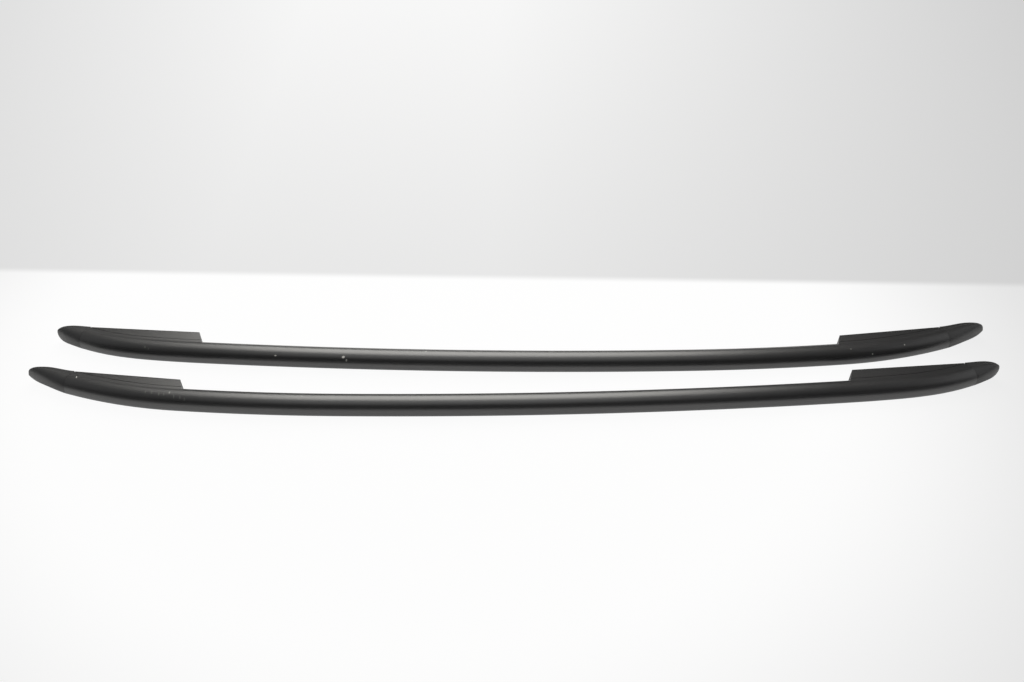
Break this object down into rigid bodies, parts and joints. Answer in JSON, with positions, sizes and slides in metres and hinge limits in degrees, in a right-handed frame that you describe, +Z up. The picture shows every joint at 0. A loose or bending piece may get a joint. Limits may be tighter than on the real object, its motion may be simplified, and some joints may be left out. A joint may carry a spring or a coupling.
{
  "type": "roof side rail pair",
  "caption": "Left and right roof side rails for a car: bent tube with a foot at each end, bolted to the roof to carry cross bars or straps.",
  "frame": {"origin": "on the ground under the middle of the pair as it lies", "axes": "+X along the rails, +Y towards the side that bolts to the roof, +Z up, which is the outboard side of both rails"},
  "size_m": [1.7526, 0.2134, 0.039],
  "materials": {
    "coated_aluminium": "satin black coating",
    "cap_plastic": "fine moulded grain",
    "pad_rubber": "matt",
    "block_steel": "zinc plated",
    "plug_plastic": "moulded",
    "screw_steel": "zinc plated"
  },
  "bodies": {
    "root": {"left_rail_profile": "coated_aluminium", "left_front_cap": "cap_plastic", "left_rear_cap": "cap_plastic", "left_front_gasket": "pad_rubber", "left_rear_gasket": "pad_rubber", "left_front_block": "block_steel", "left_rear_block": "block_steel", "left_front_plug": "plug_plastic", "left_rear_plug": "plug_plastic", "left_block_screws": "screw_steel", "left_cap_screws": "screw_steel", "right_rail_profile": "coated_aluminium", "right_front_cap": "cap_plastic", "right_rear_cap": "cap_plastic", "right_front_gasket": "pad_rubber", "right_rear_gasket": "pad_rubber", "right_front_block": "block_steel", "right_rear_block": "block_steel", "right_front_plug": "plug_plastic", "right_rear_plug": "plug_plastic", "right_block_screws": "screw_steel", "right_cap_screws": "screw_steel"}
  },
  "joints": []
}
